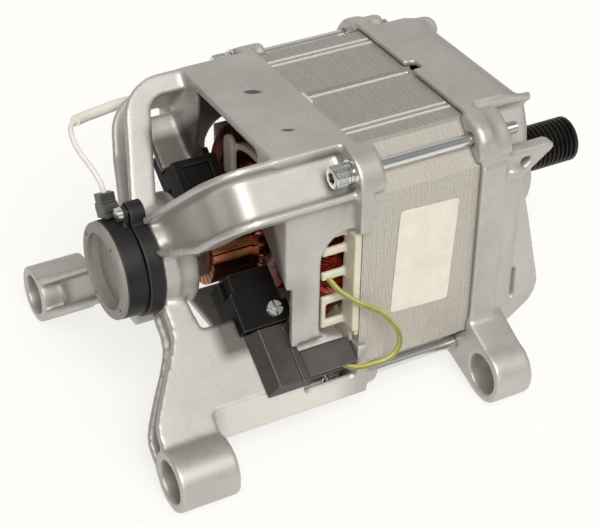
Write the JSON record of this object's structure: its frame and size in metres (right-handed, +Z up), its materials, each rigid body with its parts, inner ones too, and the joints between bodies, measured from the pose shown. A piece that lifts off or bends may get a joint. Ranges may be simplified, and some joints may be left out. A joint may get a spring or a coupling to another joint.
{
  "type": "washing machine motor",
  "caption": "Brushed drive motor: laminated stator held between cast frames with foot bores, brush gear, a speed sensor at the rear and a ribbed belt pulley at the front.",
  "frame": {"origin": "centre of the bounding box on the plane that the foot bosses stand on", "axes": "+X along the shaft towards the pulley, +Z up from the feet, -Y towards the side with the label and terminal block"},
  "size_m": [0.2336, 0.1666, 0.1267],
  "materials": {
    "cast_aluminium": "as cast, fine matt grain",
    "lamination_steel": "stacked sheet edges",
    "zinc_steel": "bright zinc",
    "bearing_steel": "ground",
    "shaft_steel": "ground",
    "cream_plastic": "moulded",
    "black_plastic": "moulded, satin",
    "grey_plastic": "moulded",
    "enamelled_copper": "red enamel",
    "bare_copper": "turned",
    "tinned_metal": "tinned",
    "carbon": "pressed",
    "ferrite": "sintered",
    "phenolic": "moulded",
    "white_plastic": "moulded",
    "label_film": "printed film, left bare",
    "earth_insulation": "yellow with a green stripe",
    "white_insulation": "smooth",
    "sleeve_fabric": "varnished sleeve",
    "black_steel": "blackened"
  },
  "bodies": {
    "motor": {"rear_frame": "cast_aluminium", "rear_walls": "cast_aluminium", "rear_hub": "cast_aluminium", "near_arm": "cast_aluminium", "far_arm": "cast_aluminium", "near_leg": "cast_aluminium", "far_leg": "cast_aluminium", "front_frame": "cast_aluminium", "stator_core": "lamination_steel", "tie_bolts": "zinc_steel", "lock_washers": "zinc_steel", "flat_washers": "zinc_steel", "holder_screws": "zinc_steel", "tacho_screw": "zinc_steel", "brush_springs": "zinc_steel", "wave_washer": "zinc_steel", "rear_bearing_outer": "bearing_steel", "front_bearing_outer": "bearing_steel", "rear_insulator": "cream_plastic", "front_insulator": "cream_plastic", "near_brush_holder": "black_plastic", "far_brush_holder": "black_plastic", "terminal_block": "black_plastic", "tacho_clamp": "black_plastic", "tacho_housing": "black_plastic", "tacho_connector": "black_plastic", "tacho_cap": "grey_plastic", "upper_field_coil": "enamelled_copper", "lower_field_coil": "enamelled_copper", "upper_coil_core": "enamelled_copper", "lower_coil_core": "enamelled_copper", "tacho_coil": "enamelled_copper", "terminal_blades": "tinned_metal", "carbon_brushes": "carbon", "tacho_plug": "white_plastic", "rating_label": "label_film", "earth_wire": "earth_insulation", "tacho_lead": "white_insulation", "tacho_sleeve": "sleeve_fabric"},
    "rotor": {"shaft": "shaft_steel", "armature_core": "lamination_steel", "rear_winding": "enamelled_copper", "rear_winding_core": "enamelled_copper", "front_winding": "enamelled_copper", "commutator_hub": "phenolic", "commutator_bars": "bare_copper", "fan": "white_plastic", "tacho_magnet": "ferrite", "pulley": "black_steel", "rear_bearing_inner": "bearing_steel", "front_bearing_inner": "bearing_steel"},
    "rear_cage": {"rear_bearing_balls": "bearing_steel"},
    "front_cage": {"front_bearing_balls": "bearing_steel"}
  },
  "joints": [
    {"name": "rotor_spin", "type": "hinge", "parent": "motor", "child": "rotor", "pos_m": [0, 0, 0.0673], "axis": [1, 0, 0], "continuous": true},
    {"name": "rear_cage_spin", "type": "hinge", "parent": "motor", "child": "rear_cage", "pos_m": [0, 0, 0.0673], "axis": [1, 0, 0], "continuous": true},
    {"name": "front_cage_spin", "type": "hinge", "parent": "motor", "child": "front_cage", "pos_m": [0, 0, 0.0673], "axis": [1, 0, 0], "continuous": true}
  ],
  "couplings": [
    {"joint": "rear_cage_spin", "follows": "rotor_spin", "ratio": 0.38},
    {"joint": "front_cage_spin", "follows": "rotor_spin", "ratio": 0.379}
  ]
}
